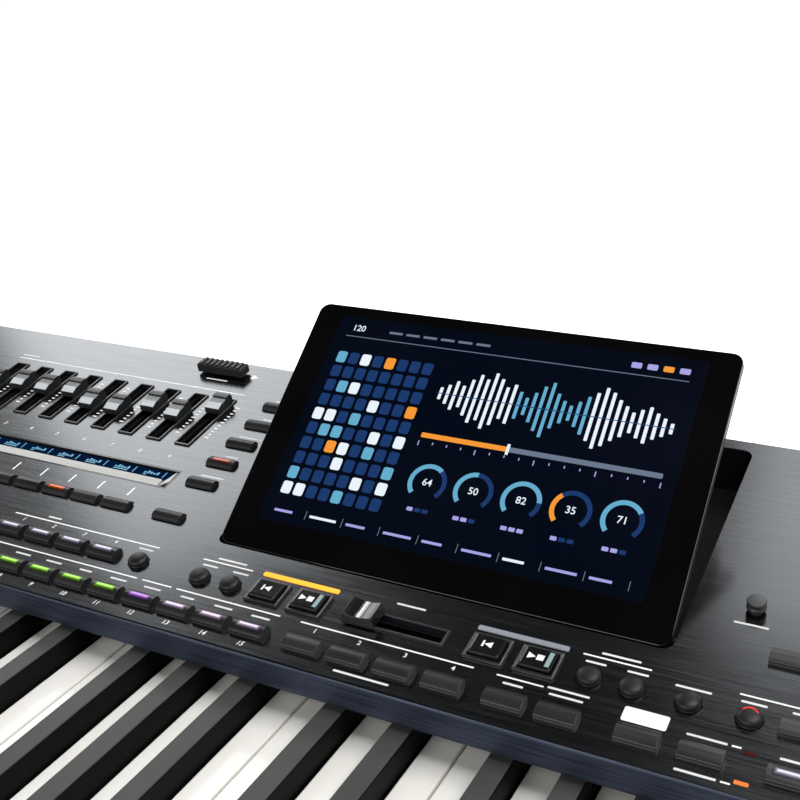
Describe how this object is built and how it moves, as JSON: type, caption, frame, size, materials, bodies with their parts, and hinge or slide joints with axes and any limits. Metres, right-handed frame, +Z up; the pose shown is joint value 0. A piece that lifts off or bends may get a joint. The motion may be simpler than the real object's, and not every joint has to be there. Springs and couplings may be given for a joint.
{
  "type": "arranger keyboard",
  "caption": "Arranger keyboard with piano keys, a sloped brushed panel of buttons and sliders, a tilting touch display and a joystick.",
  "frame": {"origin": "on the floor, under the middle of the body", "axes": "+X to the player's right, +Y to the rear, +Z up"},
  "size_m": [1.034, 0.3713, 0.1835],
  "materials": {
    "panel_metal": "brushed along X, dark anodised",
    "case_plastic": "fine moulded grain",
    "black_steel": "black powder coat",
    "zinc_steel": "zinc plated",
    "rubber": "matt",
    "board": "green solder mask",
    "well_plastic": "satin moulded",
    "display_black": "satin black shell",
    "display_glass": "black backed touch glass",
    "screen": "lit liquid crystal panel",
    "dark_trim": "gloss black",
    "bevel_metal": "satin",
    "light_pipe": "diffusing",
    "button_plastic": "satin dark grey",
    "cap_silver": "silver over gunmetal",
    "white_key": "satin white",
    "black_key": "matt black"
  },
  "bodies": {
    "body": {"bottom_case": "black_steel", "circuit_boards": "board", "display_hinge_pins": "zinc_steel", "display_well": "well_plastic", "fader_tracks": "well_plastic", "key_chassis": "zinc_steel", "key_slip": "case_plastic", "left_end_block": "case_plastic", "light_bars": "light_pipe", "power_inlet": "dark_trim", "power_supply": "zinc_steel", "rear_panel": "black_steel", "rear_sockets": "dark_trim", "right_end_block": "case_plastic", "rubber_feet": "rubber", "slider_rims": "dark_trim", "strip_screen": "screen", "strip_screen_frame": "bevel_metal", "top_panel": "panel_metal", "transport_frames": "dark_trim"},
    "display": {"display_housing": "display_black", "display_glass": "display_glass", "lcd_panel": "screen"},
    "slider_cap_1": {"slider_cap_1": "cap_silver"},
    "slider_cap_2": {"slider_cap_2": "cap_silver"},
    "slider_cap_3": {"slider_cap_3": "cap_silver"},
    "slider_cap_4": {"slider_cap_4": "cap_silver"},
    "slider_cap_5": {"slider_cap_5": "cap_silver"},
    "slider_cap_6": {"slider_cap_6": "cap_silver"},
    "slider_cap_7": {"slider_cap_7": "cap_silver"},
    "slider_cap_8": {"slider_cap_8": "cap_silver"},
    "slider_cap_9": {"slider_cap_9": "cap_silver"},
    "crossfader_cap": {"crossfader_cap": "cap_silver"},
    "style_buttons": {"style_buttons": "button_plastic"},
    "control_buttons": {"control_buttons": "button_plastic"},
    "set_buttons": {"set_buttons": "button_plastic"},
    "round_buttons": {"round_buttons": "button_plastic"},
    "transport_buttons": {"transport_buttons": "button_plastic"},
    "unlock_knob": {"unlock_knob": "button_plastic"},
    "rear_lock_slide": {"rear_lock_slide": "button_plastic"},
    "data_dial": {"data_dial": "button_plastic"},
    "volume_knob": {"volume_knob": "button_plastic"},
    "joystick_gimbal": {"joystick_gimbal": "well_plastic"},
    "joystick_lever": {"joystick_lever": "button_plastic"},
    "power_switch": {"power_switch": "dark_trim"},
    "key_c": {"key_c": "white_key"},
    "key_c_sharp": {"key_c_sharp": "black_key"},
    "key_d": {"key_d": "white_key"},
    "key_d_sharp": {"key_d_sharp": "black_key"},
    "key_e": {"key_e": "white_key"},
    "key_f": {"key_f": "white_key"},
    "key_f_sharp": {"key_f_sharp": "black_key"},
    "key_g": {"key_g": "white_key"},
    "key_g_sharp": {"key_g_sharp": "black_key"},
    "key_a": {"key_a": "white_key"},
    "key_a_sharp": {"key_a_sharp": "black_key"},
    "key_b": {"key_b": "white_key"},
    "white_keys": {"white_keys": "white_key"},
    "black_keys": {"black_keys": "black_key"}
  },
  "joints": [
    {"name": "display_tilt", "type": "hinge", "parent": "body", "child": "display", "pos_m": [0, 0.05506, 0.09866], "axis": [1, 0, 0], "range_deg": [-28.5, 12]},
    {"name": "slider_travel_1", "type": "slide", "parent": "body", "child": "slider_cap_1", "axis": [0, 0.9833, 0.1822], "range_m": [-0.015, 0.015]},
    {"name": "slider_travel_2", "type": "slide", "parent": "body", "child": "slider_cap_2", "axis": [0, 0.9833, 0.1822], "range_m": [-0.018, 0.012]},
    {"name": "slider_travel_3", "type": "slide", "parent": "body", "child": "slider_cap_3", "axis": [0, 0.9833, 0.1822], "range_m": [-0.0174, 0.0126]},
    {"name": "slider_travel_4", "type": "slide", "parent": "body", "child": "slider_cap_4", "axis": [0, 0.9833, 0.1822], "range_m": [-0.0192, 0.0108]},
    {"name": "slider_travel_5", "type": "slide", "parent": "body", "child": "slider_cap_5", "axis": [0, 0.9833, 0.1822], "range_m": [-0.012, 0.018]},
    {"name": "slider_travel_6", "type": "slide", "parent": "body", "child": "slider_cap_6", "axis": [0, 0.9833, 0.1822], "range_m": [-0.0111, 0.0189]},
    {"name": "slider_travel_7", "type": "slide", "parent": "body", "child": "slider_cap_7", "axis": [0, 0.9833, 0.1822], "range_m": [-0.0195, 0.0105]},
    {"name": "slider_travel_8", "type": "slide", "parent": "body", "child": "slider_cap_8", "axis": [0, 0.9833, 0.1822], "range_m": [-0.0156, 0.0144]},
    {"name": "slider_travel_9", "type": "slide", "parent": "body", "child": "slider_cap_9", "axis": [0, 0.9833, 0.1822], "range_m": [-0.0276, 0.0024]},
    {"name": "crossfader_travel", "type": "slide", "parent": "body", "child": "crossfader_cap", "axis": [1, 0, 0], "range_m": [0, 0.028]},
    {"name": "style_press", "type": "slide", "parent": "body", "child": "style_buttons", "axis": [0, 0.1822, -0.9833], "range_m": [0, 0.001], "stiffness_N_per_m": 500, "springref_m": -0.004},
    {"name": "control_press", "type": "slide", "parent": "body", "child": "control_buttons", "axis": [0, 0.1822, -0.9833], "range_m": [0, 0.001], "stiffness_N_per_m": 400, "springref_m": -0.004},
    {"name": "set_press", "type": "slide", "parent": "body", "child": "set_buttons", "axis": [0, 0.1822, -0.9833], "range_m": [0, 0.001], "stiffness_N_per_m": 900, "springref_m": -0.004},
    {"name": "round_press", "type": "slide", "parent": "body", "child": "round_buttons", "axis": [0, 0.1822, -0.9833], "range_m": [0, 0.001], "stiffness_N_per_m": 250, "springref_m": -0.004},
    {"name": "transport_press", "type": "slide", "parent": "body", "child": "transport_buttons", "axis": [0, 0.1822, -0.9833], "range_m": [0, 0.001], "stiffness_N_per_m": 250, "springref_m": -0.004},
    {"name": "unlock_press", "type": "slide", "parent": "body", "child": "unlock_knob", "axis": [0, 0.1822, -0.9833], "range_m": [0, 0.0012], "stiffness_N_per_m": 250, "springref_m": -0.004},
    {"name": "rear_lock_travel", "type": "slide", "parent": "body", "child": "rear_lock_slide", "axis": [1, 0, 0], "range_m": [0, 0.008]},
    {"name": "data_dial_turn", "type": "hinge", "parent": "body", "child": "data_dial", "pos_m": [0.345, 0.09917, 0.11141], "axis": [0, -0.1822, 0.9833], "continuous": true},
    {"name": "volume_turn", "type": "hinge", "parent": "body", "child": "volume_knob", "pos_m": [-0.43, 0.1326, 0.11761], "axis": [0, -0.1822, 0.9833], "range_deg": [-140, 140]},
    {"name": "joystick_sideways", "type": "hinge", "parent": "body", "child": "joystick_gimbal", "pos_m": [-0.4397, -0.08895, 0.0655], "axis": [0, 1, 0], "range_deg": [-18, 18], "stiffness_Nm_per_rad": 0.4},
    {"name": "joystick_fore_aft", "type": "hinge", "parent": "joystick_gimbal", "child": "joystick_lever", "pos_m": [-0.4397, -0.08895, 0.0655], "axis": [1, 0, 0], "range_deg": [-18, 18], "stiffness_Nm_per_rad": 0.4},
    {"name": "power_rock", "type": "hinge", "parent": "body", "child": "power_switch", "pos_m": [-0.465, 0.17925, 0.046], "axis": [1, 0, 0], "range_deg": [0, 16]},
    {"name": "key_c_press", "type": "hinge", "parent": "body", "child": "key_c", "pos_m": [0, 0.03505, 0.055], "axis": [1, 0, 0], "range_deg": [0, 2.7], "stiffness_Nm_per_rad": 0.9, "springref_deg": -17.19},
    {"name": "key_c_sharp_press", "type": "hinge", "parent": "body", "child": "key_c_sharp", "pos_m": [0, 0.03505, 0.055], "axis": [1, 0, 0], "range_deg": [0, 2.7], "stiffness_Nm_per_rad": 0.9, "springref_deg": -17.19},
    {"name": "key_d_press", "type": "hinge", "parent": "body", "child": "key_d", "pos_m": [0, 0.03505, 0.055], "axis": [1, 0, 0], "range_deg": [0, 2.7], "stiffness_Nm_per_rad": 0.9, "springref_deg": -17.19},
    {"name": "key_d_sharp_press", "type": "hinge", "parent": "body", "child": "key_d_sharp", "pos_m": [0, 0.03505, 0.055], "axis": [1, 0, 0], "range_deg": [0, 2.7], "stiffness_Nm_per_rad": 0.9, "springref_deg": -17.19},
    {"name": "key_e_press", "type": "hinge", "parent": "body", "child": "key_e", "pos_m": [0, 0.03505, 0.055], "axis": [1, 0, 0], "range_deg": [0, 2.7], "stiffness_Nm_per_rad": 0.9, "springref_deg": -17.19},
    {"name": "key_f_press", "type": "hinge", "parent": "body", "child": "key_f", "pos_m": [0, 0.03505, 0.055], "axis": [1, 0, 0], "range_deg": [0, 2.7], "stiffness_Nm_per_rad": 0.9, "springref_deg": -17.19},
    {"name": "key_f_sharp_press", "type": "hinge", "parent": "body", "child": "key_f_sharp", "pos_m": [0, 0.03505, 0.055], "axis": [1, 0, 0], "range_deg": [0, 2.7], "stiffness_Nm_per_rad": 0.9, "springref_deg": -17.19},
    {"name": "key_g_press", "type": "hinge", "parent": "body", "child": "key_g", "pos_m": [0, 0.03505, 0.055], "axis": [1, 0, 0], "range_deg": [0, 2.7], "stiffness_Nm_per_rad": 0.9, "springref_deg": -17.19},
    {"name": "key_g_sharp_press", "type": "hinge", "parent": "body", "child": "key_g_sharp", "pos_m": [0, 0.03505, 0.055], "axis": [1, 0, 0], "range_deg": [0, 2.7], "stiffness_Nm_per_rad": 0.9, "springref_deg": -17.19},
    {"name": "key_a_press", "type": "hinge", "parent": "body", "child": "key_a", "pos_m": [0, 0.03505, 0.055], "axis": [1, 0, 0], "range_deg": [0, 2.7], "stiffness_Nm_per_rad": 0.9, "springref_deg": -17.19},
    {"name": "key_a_sharp_press", "type": "hinge", "parent": "body", "child": "key_a_sharp", "pos_m": [0, 0.03505, 0.055], "axis": [1, 0, 0], "range_deg": [0, 2.7], "stiffness_Nm_per_rad": 0.9, "springref_deg": -17.19},
    {"name": "key_b_press", "type": "hinge", "parent": "body", "child": "key_b", "pos_m": [0, 0.03505, 0.055], "axis": [1, 0, 0], "range_deg": [0, 2.7], "stiffness_Nm_per_rad": 0.9, "springref_deg": -17.19},
    {"name": "white_keys_press", "type": "hinge", "parent": "body", "child": "white_keys", "pos_m": [0, 0.03505, 0.055], "axis": [1, 0, 0], "range_deg": [0, 2.7], "stiffness_Nm_per_rad": 26.1, "springref_deg": -17.19},
    {"name": "black_keys_press", "type": "hinge", "parent": "body", "child": "black_keys", "pos_m": [0, 0.03505, 0.055], "axis": [1, 0, 0], "range_deg": [0, 2.7], "stiffness_Nm_per_rad": 18, "springref_deg": -17.19}
  ]
}
